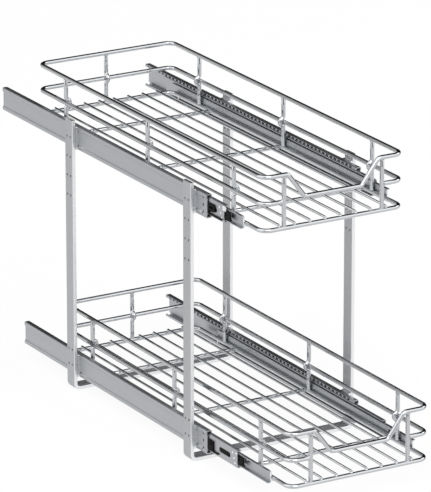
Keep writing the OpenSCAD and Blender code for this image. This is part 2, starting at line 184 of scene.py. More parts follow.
def route_frames(
    route: np.ndarray, level: np.ndarray, closed: bool
) -> tuple[np.ndarray, np.ndarray, np.ndarray]:
    """Works out the direction and the two cross directions at each point of a route.

    The direction is the mean of the two neighbouring stretches' directions, and the cross
    directions are direction x level and its cross product with the direction.

    Args:
        route: The route's points.
        level: A direction that the route nowhere runs along.
        closed: Whether the last point leads back to the first.

    Returns:
        The direction and the two cross directions, one row a point.
    """
    step = unit(np.diff(np.vstack([route, route[:1]]) if closed else route, axis=0))
    if closed:
        ahead = unit(step + np.roll(step, 1, axis=0))
    else:
        ahead = unit(np.vstack([step[:1], step[:-1] + step[1:], step[-1:]]))
    side = unit(np.cross(ahead, level))
    return ahead, side, np.cross(side, ahead)


def lofted(
    rings: np.ndarray, along: np.ndarray, closed: bool, finish: Sequence[int] | int = 0
) -> Surface:
    """Joins rings of points into a surface of quads.

    Args:
        rings: Points as [ring, place in the ring, xyz].
        along: Two numbers a point, as [ring, place in the ring, 2].
        closed: Whether the last ring joins the first; otherwise both ends get a pole.
        finish: Material number of each strip between two places in the ring.

    Returns:
        The closed surface.
    """
    n, m = rings.shape[:2]
    i = np.arange(n if closed else n - 1)[:, None]
    j = np.arange(m)[None, :]
    a, b = i * m + j, i * m + (j + 1) % m
    c, d = ((i + 1) % n) * m + (j + 1) % m, ((i + 1) % n) * m + j
    faces = [tuple(f) for f in np.stack([a, b, c, d], -1).reshape(-1, 4).tolist()]
    strip = np.broadcast_to(np.asarray(finish), (m,))
    numbers = np.broadcast_to(strip, (len(i), m)).reshape(-1).tolist()
    points, uv = rings.reshape(-1, 3), along.reshape(-1, 2)
    if not closed:
        first, last = n * m, n * m + 1
        points = np.vstack([points, rings[0].mean(0), rings[-1].mean(0)])
        uv = np.vstack([uv, along[0].mean(0), along[-1].mean(0)])
        k = np.arange(m)
        start = np.stack([np.full(m, first), (k + 1) % m, k], -1)
        end = np.stack([np.full(m, last), (n - 1) * m + k, (n - 1) * m + (k + 1) % m], -1)
        faces += [tuple(f) for f in np.vstack([start, end]).tolist()]
        numbers += [int(strip[0])] * (2 * m)
    return Surface(points, faces, uv, numbers)


def wire(
    corners: Sequence[Sequence[float]],
    diameter: float,
    bend: float | Sequence[float] = 0.0,
    level: np.ndarray = Z_AXIS,
    closed: bool = False,
    sides: int = WIRE_SIDES,
) -> Surface:
    """A round wire along a bent route.

    Each ring is centre + r*(cos(a)*side + sin(a)*up). At an open end three rings shrink along
    a quarter circle of radius CUT_EDGE * r, so that the cut end has a soft edge.

    Args:
        corners: The route's corners.
        diameter: The wire's diameter.
        bend: Bend radius of every corner, or one for each.
        level: A direction that the route nowhere runs along.
        closed: Whether the wire is a closed ring.
        sides: Points round the wire.

    Returns:
        The wire's closed surface.
    """
    bent = np.max(bend) > 0
    route = rounded_route(corners, bend, closed) if bent else np.asarray(corners, float)
    ahead, side, up = route_frames(route, level, closed)
    r = diameter / 2
    size = np.full(len(route), r)
    if not closed:
        a = np.radians([0.0, 45.0, 90.0])
        n, soft = len(a), CUT_EDGE * r
        inset, shrunk = soft * (1 - np.sin(a)), r - soft * (1 - np.cos(a))
        head = route[0] + ahead[0] * inset[::-1, None]
        tail = route[-1] - ahead[-1] * inset[:, None]
        route = np.vstack([head, route[1:-1], tail])
        side = np.vstack([np.repeat(side[:1], n, 0), side[1:-1], np.repeat(side[-1:], n, 0)])
        up = np.vstack([np.repeat(up[:1], n, 0), up[1:-1], np.repeat(up[-1:], n, 0)])
        size = np.concatenate([shrunk[::-1], size[1:-1], shrunk])
    a = np.linspace(0, 2 * math.pi, sides, endpoint=False)
    circle = np.cos(a)[None, :, None] * side[:, None] + np.sin(a)[None, :, None] * up[:, None]
    rings = route[:, None] + size[:, None, None] * circle
    return lofted(rings, grid(running_length(route), a * r), closed)


def lump(centre: Sequence[float], radii: Sequence[float], rows: int = 6, cols: int = 8) -> Surface:
    """A small rounded lump: centre + radii * (sin(p)cos(t), sin(p)sin(t), cos(p)).

    Args:
        centre: Its centre.
        radii: Half its size along x, y and z.
        rows: Bands from pole to pole.
        cols: Points round each ring between two bands.

    Returns:
        The lump's closed surface.
    """
    centre, radii = np.asarray(centre, float), np.asarray(radii, float)
    p = np.linspace(0, math.pi, rows + 1)[1:-1, None]
    t = np.linspace(0, 2 * math.pi, cols, endpoint=False)[None, :]
    ball = np.stack([np.sin(p) * np.cos(t), np.sin(p) * np.sin(t), np.cos(p) + 0 * t], -1)
    rings = centre + radii * ball
    surface = lofted(rings, rings[..., :2], closed=False)
    surface.points[-2:] = centre + radii * np.stack([Z_AXIS, -Z_AXIS])
    return surface


def sheet_section(route: np.ndarray, thickness: float) -> tuple[np.ndarray, np.ndarray]:
    """Moves a section's centre line half a thickness to either side, mitred at its points.

    Args:
        route: The centre line's points.
        thickness: The sheet's thickness.

    Returns:
        The sheet's two sides, point by point.
    """
    step = unit(np.diff(route, axis=0))
    mean = unit(np.vstack([step[:1], step[:-1] + step[1:], step[-1:]]))
    wide = np.sum(mean * np.vstack([step, step[-1:]]), axis=1)
    normal = np.stack([-mean[:, 1], mean[:, 0]], -1) * (thickness / 2 / wide)[:, None]
    return route + normal, route - normal


def folded_sheet(
    corners: Sequence[Sequence[float]], thickness: float, bend: float, length: float
) -> Surface:
    """A straight folded sheet, in a slide's own frame (u across, y along, v up).

    Its section is a bent centre line with half the thickness added on either side, carried
    along y from 0 to the length; the ends are closed by quads between the two sides.

    Args:
        corners: The centre line's corners, as u and v.
        thickness: The sheet's thickness.
        bend: Bend radius of the centre line.
        length: Length along y.

    Returns:
        The closed surface.
    """
    route = rounded_route(corners, bend, step=15.0)
    left, right = sheet_section(route, thickness)
    loop = np.vstack([left, right[::-1]])
    m, k = len(loop), len(route)
    stations = np.array([0.0, length])
    rings = np.empty((2, m, 3))
    rings[..., 0], rings[..., 2] = loop[:, 0], loop[:, 1]
    rings[..., 1] = stations[:, None]
    along = grid(stations, running_length(loop))
    j = np.arange(m)
    faces = np.stack([j, (j + 1) % m, m + (j + 1) % m, m + j], -1).tolist()
    i = np.arange(k - 1)
    cap = np.stack([i, i + 1, m - 2 - i, m - 1 - i], -1)
    faces += cap.tolist() + (cap + m).tolist()
    faces = [tuple(f) for f in faces]
    return Surface(rings.reshape(-1, 3), faces, along.reshape(-1, 2), [0] * len(faces))


def slab(outline: Sequence[Sequence[float]], low: float, high: float, axis: int = 0) -> Surface:
    """A flat outline carried from low to high along an axis.

    Args:
        outline: The outline's points, in the two coordinates that the axis leaves.
        low: Where it starts along the axis.
        high: Where it ends.
        axis: The axis, 0 to 2.

    Returns:
        The closed surface.
    """
    flat = np.asarray(outline, float)
    m = len(flat)
    others = [k for k in range(3) if k != axis]
    rings = np.empty((2, m, 3))
    rings[..., others] = flat
    rings[..., axis] = np.array([low, high])[:, None]
    j = np.arange(m)
    faces = [tuple(f) for f in np.stack([j, (j + 1) % m, m + (j + 1) % m, m + j], -1).tolist()]
    faces += [tuple(range(m))[::-1], tuple(range(m, 2 * m))]
    points = rings.reshape(-1, 3)
    return Surface(points, faces, points[:, others], [0] * len(faces))


def long_hole(length: float, height: float, steps: int = 10) -> np.ndarray:
    """Outline of a slot with round ends, centred, long along its first direction.

    An end is a half circle, shift + height / 2 * (cos(a), sin(a)), and the other its mirror.

    Args:
        length: Length over the round ends.
        height: Height, which is the ends' diameter.
        steps: Points round each end.

    Returns:
        The outline's points.
    """
    a = np.linspace(-math.pi / 2, math.pi / 2, steps)
    end = height / 2 * np.stack([np.cos(a), np.sin(a)], -1)
    shift = np.array([(length - height) / 2, 0.0])
    return np.vstack([end + shift, -end - shift])


def disc(diameter: float, steps: int = 24) -> np.ndarray:
    """Outline of a circle."""
    a = np.linspace(0, 2 * math.pi, steps, endpoint=False)
    return diameter / 2 * np.stack([np.cos(a), np.sin(a)], -1)


def soft_box(width: float, height: float, radius: float) -> np.ndarray:
    """Outline of a rectangle with round corners, centred."""
    w, h = width / 2, height / 2
    return rounded_route([(-w, -h), (w, -h), (w, h), (-w, h)], radius, closed=True, step=30.0)


# ---------------------------------------------------------------- finishes


def srgb(code: str) -> tuple[float, float, float, float]:
    """Turns an sRGB hex colour into the linear colour that a shader takes.

    Args:
        code: The colour, as "#RRGGBB".

    Returns:
        Linear red, green and blue, and an alpha of 1.
    """
    c = np.array([int(code[i : i + 2], 16) for i in (1, 3, 5)]) / 255
    low, high = c / 12.92, ((c + 0.055) / 1.055) ** 2.4
    return (*np.where(c <= 0.04045, low, high).tolist(), 1.0)


def bare_tree(owner: bpy.types.Material | bpy.types.World) -> bpy.types.NodeTree:
    """Turns on the nodes of a material or world, and takes out those that it starts with.

    Args:
        owner: The material or world.

    Returns:
        Its empty node tree.
    """
    owner.use_nodes = True
    owner.node_tree.nodes.clear()
    return owner.node_tree


def add_node(
    tree: bpy.types.NodeTree,
    kind: str,
    values: dict[Any, Any] | None = None,
    links: dict[Any, bpy.types.NodeSocket] | None = None,
    **settings: Any,
) -> bpy.types.Node:
    """Adds a node.

    Args:
        tree: The material's or world's node tree.
        kind: The node's type.
        values: Input name or number to its fixed value.
        links: Input name or number to the socket that feeds it.
        **settings: The node's own settings.

    Returns:
        The new node.
    """
    node = tree.nodes.new(kind)
    for name, value in settings.items():
        setattr(node, name, value)
    for name, value in (values or {}).items():
        node.inputs[name].default_value = value
    for name, socket in (links or {}).items():
        tree.links.new(socket, node.inputs[name])
    return node


class Pattern(Enum):
    """What a pattern is laid out on."""

    BODY = "Object"
    LENGTH = "UV"


# Fine detail of every pattern, and the span that most of its values lie in.
NOISE = {"Scale": 1.0, "Detail": 3.0, "Roughness": 0.55}
NOISE_SPAN = {"From Min": 0.3, "From Max": 0.7}
# A Mix node's colour sockets, which have numbers because its other kinds share their names.
MIX_FACTOR, MIX_DARK, MIX_LIGHT, MIX_RESULT = 0, 6, 7, 2


@dataclass(frozen=True)
class Finish:
    """A surface finish, worked out from what the real one is made of.

    Attributes:
        name: The material's name.
        light: The lighter of its two tones, as an sRGB hex value.
        dark: The darker tone.
        metallic: 1 for bare metal, 0 for plastic.
        rough: Lowest and highest roughness.
        grain_mm: Size of the tone and roughness pattern, along and across the piece.
        bump_mm: Size of the relief pattern, along and across the piece.
        relief_mm: Height of the relief.
        pattern: What both patterns are laid out on.
        gloss: The shader's specular level; it tells only on plastic.
    """

    name: str
    light: str
    dark: str
    metallic: float
    rough: Pair
    grain_mm: Pair
    bump_mm: Pair
    relief_mm: float
    pattern: Pattern = Pattern.LENGTH
    gloss: float = 0.5

    def noise(
        self, tree: bpy.types.NodeTree, place: bpy.types.NodeSocket, size: Pair
    ) -> bpy.types.NodeSocket:
        """Noise whose cells measure size, in millimetres, along and across the piece.

        Object coordinates are in metres, and the pieces' own UV maps are in millimetres.

        Args:
            tree: The material's node tree.
            place: The coordinates that it is laid out on.
            size: Size of a cell, along and across the piece.

        Returns:
            The noise's value.
        """
        cells_per_unit = 1.0 if self.pattern is Pattern.LENGTH else 1 / MM
        stretch = tuple(cells_per_unit / size[k] for k in (0, 1, 1))
        scaled = add_node(tree, "ShaderNodeMapping", {"Scale": stretch}, {"Vector": place})
        cells = add_node(tree, "ShaderNodeTexNoise", NOISE, {"Vector": scaled.outputs["Vector"]})
        return cells.outputs["Fac"]

    def material(self) -> bpy.types.Material:
        """Builds the material: two tones, a roughness that varies with them, and a relief.

        Returns:
            The material, which is made once and then shared.
        """
        made = bpy.data.materials.get(self.name)
        if made:
            return made
        made = bpy.data.materials.new(self.name)
        tree = bare_tree(made)
        coords = add_node(tree, "ShaderNodeTexCoord")
        place = coords.outputs[self.pattern.value]
        grain = self.noise(tree, place, self.grain_mm)
        tone = add_node(
            tree, "ShaderNodeMix", {MIX_DARK: srgb(self.dark), MIX_LIGHT: srgb(self.light)},
            {MIX_FACTOR: grain}, data_type="RGBA",
        )
        rough = add_node(
            tree, "ShaderNodeMapRange",
            {**NOISE_SPAN, "To Min": self.rough[0], "To Max": self.rough[1]}, {"Value": grain},
        )
        relief = self.noise(tree, place, self.bump_mm)
        bump = add_node(
            tree, "ShaderNodeBump", {"Strength": 1.0, "Distance": self.relief_mm * MM},
            {"Height": relief},
        )
        shader = add_node(
            tree, "ShaderNodeBsdfPrincipled",
            {"Metallic": self.metallic, "Specular IOR Level": self.gloss},
            {
                "Base Color": tone.outputs[MIX_RESULT],
                "Roughness": rough.outputs["Result"],
                "Normal": bump.outputs["Normal"],
            },
        )
        add_node(tree, "ShaderNodeOutputMaterial", {}, {"Surface": shader.outputs["BSDF"]})
        return made


# Bright nickel-chrome plate on drawn round wire: mirror-like, faintly uneven along the wire.
CHROME_WIRE = Finish(
    "chrome_plate", "#C4C6C8", "#BABCBF", 1.0, (0.04, 0.09), (9, 3), (6, 1.2), 0.002,
)
# The same plate over a resistance weld: a little duller and lumpier.
WELD = Finish(
    "chrome_over_weld", "#D6D8DA", "#C2C5C8", 1.0, (0.12, 0.24), (1.2, 1.2), (0.7, 0.7), 0.03,
    Pattern.BODY,
)
# Cold drawn flat bar under a satin plate: fine lines along the strip, soft reflections. The
# lines are drawn 0.5 to 0.8 mm wide, coarser than the real ones, so that they show.
STRIP_FACE = Finish(
    "satin_plate", "#BABBBD", "#AFB0B3", 1.0, (0.56, 0.66), (40, 0.8), (30, 0.5), 0.002,
)
# The bar's drawn edges come out of the die smoother than its faces, hence the lower roughness.
# Its lighter colour is painted light: a painted highlight along the bar's narrow edges, and
# painted light on the spacers, whose faces sit in shade in the corner by the slide. The small
# pressed parts (spacers, lugs, rivet heads and clips) take the same plate.
SMOOTH_PLATE_PAINTED_LIGHT = Finish(
    "bright_plate", "#EDEEEF", "#E2E3E5", 1.0, (0.24, 0.34), (40, 0.8), (30, 0.4), 0.002,
)
# Electro-galvanised cold rolled sheet: pale grey and satin, with rolling lines along its
# length, which are drawn 0.6 mm wide so that they show.
ZINC_SHEET = Finish(
    "zinc_sheet", "#B7B9BC", "#A4A6AA", 1.0, (0.38, 0.48), (120, 6), (35, 0.6), 0.0015,
)
# Bright zinc on the screws' heads: no direction of rolling, a little mottled by the barrel.
ZINC_SMALL = Finish(
    "zinc_small_parts", "#C9CBCD", "#B4B6B9", 1.0, (0.20, 0.32), (2, 2), (0.8, 0.8), 0.004,
    Pattern.BODY,
)
# Through-hardened ball steel, ground and polished: each ball is a small clear mirror.
BALL_STEEL = Finish(
    "ball_steel", "#DADCDE", "#CACCCF", 1.0, (0.06, 0.12), (0.8, 0.8), (0.4, 0.4), 0.001,
    Pattern.BODY,
)
# Injection moulded black acetal: a spark-eroded mould grain takes most of its gloss. It is
# drawn 0.5 mm coarse so that it shows.
BLACK_ACETAL = Finish(
    "black_acetal", "#0D0D0E", "#060607", 0.0, (0.55, 0.70), (3, 3), (0.5, 0.5), 0.02,
    Pattern.BODY, gloss=0.12,
)
# The same acetal for the ball cages, moulded in a polished tool: black with a soft sheen.
CAGE_ACETAL = Finish(
    "cage_acetal", "#161617", "#0E0E0F", 0.0, (0.35, 0.45), (3, 3), (0.5, 0.5), 0.01,
    Pattern.BODY,
)


# ---------------------------------------------------------------- pieces


def make_piece(
    name: str,
    surface: Surface,
    body: str,
    finishes: Sequence[Finish],
    replaces: Sequence[str] = (),
    edge: float = 0.0,
    cutters: Sequence[Surface] = (),
) -> None:
    """Turns a surface into a piece that rides on a body; its object stays at the origin.

    Args:
        name: The piece's name.
        surface: Its shape, in millimetres.
        body: The body that it moves with.
        finishes: Its materials, by face number.
        replaces: The CAD nodes that it stands for.
        edge: Width of a bevel along its sharp edges, in millimetres.
        cutters: Shapes that are cut out of it.
    """
    obj = plain_object(name, surface)
    for finish in finishes:
        obj.data.materials.append(finish.material())
    for number, cutter in enumerate(cutters):
        tool = plain_object(f"{name}_tool", cutter)
        cut = obj.modifiers.new(f"cut{number}", "BOOLEAN")
        cut.operation, cut.solver, cut.object = "DIFFERENCE", "EXACT", tool
        settle(obj)
        bpy.data.objects.remove(tool)
    if edge > 0:
        bevel = obj.modifiers.new("edge", "BEVEL")
        bevel.width, bevel.segments = edge * MM, BEVEL_SEGMENTS
        bevel.limit_method, bevel.angle_limit = "ANGLE", BEVEL_ANGLE
        settle(obj)
    obj.data.polygons.foreach_set("use_smooth", [True] * len(obj.data.polygons))
    obj.data.set_sharp_from_angle(angle=SHARP_ANGLE)
    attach(obj, body)
    if replaces:
        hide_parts(*replaces)
    LOG.info("%s: %d faces on %s", name, len(obj.data.polygons), body)


def add_object(name: str, data: bpy.types.ID) -> bpy.types.Object:
    """Makes an object of a mesh, lamp or camera and puts it into the scene.

    Args:
        name: The object's name.
        data: The mesh, lamp or camera.

    Returns:
        The new object.
    """
    obj = bpy.data.objects.new(name, data)
    bpy.context.scene.collection.objects.link(obj)
    return obj


def plain_object(name: str, surface: Surface) -> bpy.types.Object:
    """Makes a mesh object of a surface, with its faces turned outwards and its UV map.

    Args:
        name: The object's name.
        surface: Its shape, in millimetres.

    Returns:
        The new object.
    """
    mesh = bpy.data.meshes.new(name)
    mesh.from_pydata((surface.points * MM).tolist(), [], surface.faces)
    mesh.polygons.foreach_set("material_index", surface.finish)
    layer = mesh.uv_layers.new(name="length")
    corner = np.empty(len(mesh.loops), np.int64)
    mesh.loops.foreach_get("vertex_index", corner)
    layer.data.foreach_set("uv", surface.along[corner].astype(np.float32).ravel())
    shape = bmesh.new()
    shape.from_mesh(mesh)
    bmesh.ops.recalc_face_normals(shape, faces=shape.faces)
    shape.to_mesh(mesh)
    shape.free()
    return add_object(name, mesh)


def settle(obj: bpy.types.Object) -> None:
    """Applies an object's modifiers to its mesh.

    Args:
        obj: The object, which gets the new mesh.
    """
    bpy.context.view_layer.update()
    ready = obj.evaluated_get(bpy.context.evaluated_depsgraph_get())
    old, obj.data = obj.data, bpy.data.meshes.new_from_object(ready)
    obj.modifiers.clear()
    bpy.data.meshes.remove(old)


def dress_node(frame: dict[str, Any], node: str, finish: Finish) -> None:
    """Gives a CAD node a finish.

    Args:
        node: The node's name.
        finish: Its finish.
    """
    obj = frame["nodes"][node]
    for place in obj.material_slots:
        place.link = "OBJECT"
        place.material = finish.material()


class Side(Enum):
    """The two sides of the unit; the value is the sign of x."""

    LEFT = -1
    RIGHT = 1


@dataclass(frozen=True)
class Tier:
    """One basket's place and travel, in millimetres.

    Attributes:
        name: The tier's name, with which its pieces' names start.
        bottom: Height of its bottom rail's centre line.
        pull: How far it stands out of its closed place.
        slide_length: Length of its slides, which is also their full travel.
    """

    name: str
    bottom: float
    pull: float
    slide_length: float


UPPER = Tier("upper", 321.0, 70.0, 500.0)
LOWER = Tier("lower", 29.0, 132.0, 450.0)


@dataclass
class WireBasket:
    """A basket: three rails, posts, cross wires, floor wires, and their welds.

    Its parts are drawn in the basket's own frame, from the middle of the bottom rail's front.
    """

    tier: Tier
    # The rings over their centre lines, where the closed basket's front stands, and the wires.
    width: float = 187.5
    depth: float = 533.5
    corner: float = 11.0
    closed_front: float = -70.5
    rail: float = 5.4
    cross: float = 5.2
    floor: float = 3.2
    # Heights of the upper two rings, and the top ring's dip: how deep, how long its slope is,
    # how far it starts from a front post, and its bends.
    middle_z: float = 32.0
    top_z: float = 64.0
    dip_drop: float = 29.7
    dip_run: float = 22.5
    dip_gap: float = 5.0
    dip_bend: float = 7.0
    # Where posts, cross wires and floor wires stand.
    post_x: float = 66.0
    post_ys: tuple[float, ...] = (65.5, 265.5, 465.5)
    cross_ys: tuple[float, ...] = (82.5, 269.1, 437.5)
    floor_count: int = 8
    pitch: float = 20.5
    # A bent post's bulge, in diameters of its wire: half its height at the post and at its
    # flat, and its bends.
    bulge_start: float = 1.1
    bulge_flat: float = 0.45
    bulge_bend: float = 0.7
    # How far welded wires sink into each other, and half the sizes of the lumps on the joints;
    # the outer floor lumps lie a little in from the rails' middle.
    weld: float = 0.3
    lump_in: float = 0.8
    floor_lump: Triple = (2.0, 2.0, 0.7)
    post_lump: Triple = (0.7, 2.5, 2.2)
    end_lump: Triple = (0.8, 2.7, 2.9)
    cross_lump_high: float = 2.5
    collar: float = 0.35
    collar_high: float = 0.75

    @property
    def front(self) -> float:
        """Where the front rail stands."""
        return self.closed_front - self.tier.pull

    @property
    def half(self) -> float:
        """Half the width between the side rails."""
        return self.width / 2

    @property
    def cross_z(self) -> float:
        """Height of the cross wires, whose tops are level with the bottom rail's."""
        return (self.rail - self.cross) / 2

    @property
    def post_span(self) -> Pair:
        """Heights between which a post stands; it is sunk into both rails by the weld."""
        return self.rail / 2 - self.weld, self.top_z - self.rail / 2 + self.weld

    def piece(self, what: str, parts: Sequence[Surface], finish: Finish, node: bool = True) -> None:
        """Makes one piece of the basket out of parts in the basket's own frame.

        Args:
            what: The piece's name, after the tier's.
            parts: Its parts.
            finish: Its finish.
            node: Whether it stands for the CAD node of that name.
        """
        name = f"{self.tier.name}_{what}"
        whole = Surface.joined(parts)
        whole.points = whole.points + np.array([0.0, self.front, self.tier.bottom])
        make_piece(
            f"{name}_finished" if node else name, whole, f"{self.tier.name}_basket",
            [finish], [name] if node else (),
        )

    def bottom_ring(self) -> Surface:
        """The bottom rail, closed, with round corners.

        Returns:
            The rail's surface.
        """
        x, d = self.half, self.depth
        corners = [(x, 0, 0), (x, d, 0), (-x, d, 0), (-x, 0, 0)]
        return wire(corners, self.rail, self.corner, closed=True, sides=RAIL_SIDES)

    def middle_ring(self) -> Surface:
        """The middle rail, open in front: both ends stop at a front post.

        Returns:
            The rail's surface.
        """
        x, d, z = self.half, self.depth, self.middle_z
        end = self.post_x + self.cross / 2 - self.weld
        corners = [(end, 0, z), (x, 0, z), (x, d, z), (-x, d, z), (-x, 0, z), (-end, 0, z)]
        return wire(corners, self.rail, self.corner, sides=RAIL_SIDES)

    def top_ring(self) -> Surface:
        """The top rail, which dips between the front posts.

        Returns:
            The rail's surface.
        """
        x, d, z = self.half, self.depth, self.top_z
        high = self.post_x - self.dip_gap
        low, dip = high - self.dip_run, z - self.dip_drop
        corners = [
            (low, 0, dip), (high, 0, z), (x, 0, z), (x, d, z),
            (-x, d, z), (-x, 0, z), (-high, 0, z), (-low, 0, dip),
        ]
        radii = [self.dip_bend] * 2 + [self.corner] * 4 + [self.dip_bend] * 2
        return wire(corners, self.rail, radii, closed=True, sides=RAIL_SIDES)

    def bent_post(self, foot: Sequence[float], inward: np.ndarray) -> Surface:
        """A post from the bottom rail to the top rail, bent inwards round the middle rail.

        Its centre line is foot + inward * in + up * height, where in goes from 0 to the two
        wires' joint radius and back.

        Args:
            foot: Where it stands on the bottom rail's centre line.
            inward: Direction towards the middle of the basket.

        Returns:
            The post's surface.
        """
        deep = (self.rail + self.cross) / 2 - self.weld
        m, d = self.middle_z, self.cross
        start, flat = self.bulge_start * d, self.bulge_flat * d
        low, high = self.post_span
        route = np.array([
            (0, low), (0, m - start), (deep, m - flat), (deep, m + flat), (0, m + start), (0, high),
        ])
        path = np.asarray(foot, float) + route[:, :1] * inward + route[:, 1:] * Z_AXIS
        return wire(path, d, self.bulge_bend * d, level=np.cross(Z_AXIS, inward))

    def side_posts(self) -> list[Surface]:
        """Three posts along each side."""
        return [
            self.bent_post((s * self.half, y, 0), -s * X_AXIS)
            for s in (-1, 1) for y in self.post_ys
        ]

    def rear_post(self) -> list[Surface]:
        """One post in the middle of the back."""
        return [self.bent_post((0, self.depth, 0), -Y_AXIS)]

    def front_posts(self) -> list[Surface]:
        """Two straight posts beside the dip."""
        xs, (low, high) = (-self.post_x, self.post_x), self.post_span
        return [wire([(x, 0, low), (x, 0, high)], self.cross, level=X_AXIS) for x in xs]

    def cross_wires(self) -> list[Surface]:
        """Three wires under the floor, between the side rails."""
        end, z = self.half - self.rail / 2 + self.weld, self.cross_z
        return [wire([(-end, y, z), (end, y, z)], self.cross) for y in self.cross_ys]

    def floor_xs(self) -> np.ndarray:
        """Where the floor wires lie."""
        return (np.arange(self.floor_count) - (self.floor_count - 1) / 2) * self.pitch

    def floor_wires(self) -> list[Surface]:
        """Straight wires on top of the bottom rail and the cross wires."""
        z = (self.rail + self.floor) / 2 - self.weld
        return [
            wire([(x, 0, z), (x, self.depth, z)], self.floor, sides=FLOOR_SIDES)
            for x in self.floor_xs()
        ]

    def welds(self) -> list[Surface]:
        """Lumps of fused metal where wires were pressed together, and collars round the posts.

        Returns:
            All of the basket's lumps.
        """
        top, collar = self.rail / 2, self.cross / 2 + self.collar
        touch = top - self.weld / 2
        ys = (self.lump_in, *self.cross_ys, self.depth - self.lump_in)
        parts = [lump((x, y, touch), self.floor_lump) for x in self.floor_xs() for y in ys]
        posts = [(s * self.half, y) for s in (-1, 1) for y in self.post_ys]
        posts += [(s * self.post_x, 0.0) for s in (-1, 1)] + [(0.0, self.depth)]
        size = (collar, collar, self.collar_high)
        parts += [
            lump((x, y, z), size, rows=8, cols=14)
            for x, y in posts for z in (top, self.top_z - top)
        ]
        inner, end = self.half - touch, self.post_x + self.cross / 2
        thin, long, high = self.post_lump
        size = (thin, collar, self.cross_lump_high)
        for s in (-1, 1):
            parts += [lump((s * inner, y, self.middle_z), self.post_lump) for y in self.post_ys]
            parts += [lump((s * inner, y, self.cross_z), size) for y in self.cross_ys]
            parts.append(lump((s * end, 0, self.middle_z), self.end_lump))
        parts.append(lump((0, self.depth - touch, self.middle_z), (long, thin, high)))
        return parts

    def build(self) -> None:
        """Makes every piece of the basket."""
        wires = {
            "bottom_rail": [self.bottom_ring()],
            "middle_rail": [self.middle_ring()],
            "top_rail": [self.top_ring()],
            "side_posts": self.side_posts(),
            "front_posts": self.front_posts(),
            "rear_post": self.rear_post(),
            "cross_wires": self.cross_wires(),
            "floor_wires": self.floor_wires(),
        }
        for what, parts in wires.items():
            self.piece(what, parts, CHROME_WIRE)
        self.piece("weld_lumps", self.welds(), WELD, node=False)


@dataclass
class StripFrame:
    """A U-shaped frame bent from flat bar, with hole pairs in its uprights."""

    name: str
    y: float
    # Half the frame's width, the bar, its inner bend, and how far its edges are eased; faces
    # that lie in the band along the narrow edges take the second finish, whose lighter colour is
    # a painted highlight.
    half: float = 112.9
    width: float = STRIP_WIDTH
    thick: float = 4.5
    height: float = 346.0
    bend: float = 4.0
    ease: float = 0.7
    painted_highlight_band: float = 0.4
    # Diameters and places of the holes.
    hole: float = 3.1
    heights: tuple[float, ...] = (324.3, 299.7, 275.1, 250.5, 32.3, 51.8)
    foot_hole: float = 4.5
    foot_gap: float = 140.0

    def bar(self) -> Surface:
        """The bar's section, a rectangle with eased edges, carried round the U.

        A ring is route + Y * (y + first) + side * second, with the section's two coordinates.
        The faces near its narrow sides take the second finish, whose lighter colour paints a
        highlight along the edges.

        Returns:
            The bar's surface.
        """
        h = self.thick / 2
        x, r = self.half - h, self.bend + h
        corners = [(-x, 0, self.height), (-x, 0, h), (x, 0, h), (x, 0, self.height)]
        route = rounded_route(corners, r, step=5.0)
        section = soft_box(self.width, self.thick, self.ease)
        _, side, _ = route_frames(route, Y_AXIS, closed=False)
        across = Y_AXIS * (self.y + section[None, :, :1])
        rings = route[:, None] + across + side[:, None] * section[None, :, 1:]
        along = grid(running_length(route), running_length(section))
        middle = (section + np.roll(section, -1, axis=0)) / 2
        # Faces along the narrow edges take the lighter plate: a painted highlight.
        edge = (np.abs(middle[:, 0]) > self.width / 2 - self.painted_highlight_band).astype(int)
        return lofted(rings, along, closed=False, finish=edge)

    def holes(self) -> list[Surface]:
        """Cutters for the hole pairs in the uprights and for the foot's screw holes.

        Returns:
            One surface for the pairs and one for the foot.
        """
        circle, past = disc(self.hole), self.half + CUT_PAST
        uprights = [
            slab(circle + [self.y + s * HOLE_GAP / 2, z], -past, past)
            for z in self.heights for s in (-1, 1)
        ]
        circle, past = disc(self.foot_hole), self.thick + CUT_PAST
        foot = [
            slab(circle + [s * self.foot_gap / 2, self.y], -CUT_PAST, past, axis=2) for s in (-1, 1)
        ]
        return [Surface.joined(uprights), Surface.joined(foot)]

    def build(self) -> None:
        """Makes the frame."""
        make_piece(
            f"{self.name}_finished", self.bar(), "frame",
            [STRIP_FACE, SMOOTH_PLATE_PAINTED_LIGHT], [self.name], cutters=self.holes(),
        )


class Share(float, Enum):
    """How far a part of a slide follows its basket, as a share of the basket's travel."""

    FIXED = 0.0
    OUTER_CAGE = 0.25
    MIDDLE = 0.5
    INNER_CAGE = 0.75
    BASKET = 1.0


@dataclass(frozen=True)
class Cage:
    """A ball cage: a strip above and one below, both with a window every pitch along them.

    Attributes:
        name: Which of a slide's two cages it is.
        share: Its share of the basket's travel.
        u: Middle of both strips across the slide.
        v: Middle of the upper strip; the lower one lies as far below the slide's middle.
        wide: A strip's width along u.
        high: A strip's height along v.
    """

    name: str
    share: Share
    u: float
    v: float
    wide: float
    high: float
    length: float = 180.0
    pitch: float = 9.0
    windows: int = 19
    first: float = 10.0
    window: float = 5.2
    rim: float = 0.5

    def strips(self, front: float) -> Surface:
        """Both strips, before their windows are cut.

        Args:
            front: Where their front ends lie along the slide.

        Returns:
            The strips' surface, in the slide's frame.
        """
        back, parts = front + self.length, []
        for s in (-1, 1):
            low, high = s * self.v - self.high / 2, s * self.v + self.high / 2
            outline = [(front, low), (back, low), (back, high), (front, high)]
            parts.append(slab(outline, self.u - self.wide / 2, self.u + self.wide / 2))
        return Surface.joined(parts)

    def cutters(self, front: float) -> Surface:
        """Cutters for the windows, each of which goes through both strips.

        Args:
            front: Where the strips' front ends lie along the slide.

        Returns:
            The cutters' surface, in the slide's frame.
        """
        hole = soft_box(self.wide - 2 * self.rim, self.window, WINDOW_CORNER)
        ys = front + self.first + self.pitch * np.arange(self.windows)
        reach = self.v + self.high
        return Surface.joined([slab(hole + [self.u, y], -reach, reach, axis=2) for y in ys])


OUTER_CAGE = Cage("outer", Share.OUTER_CAGE, 4.3, 12.1, 3.2, 1.6)
INNER_CAGE = Cage("inner", Share.INNER_CAGE, 5.8, 8.9, 2.6, 1.2)


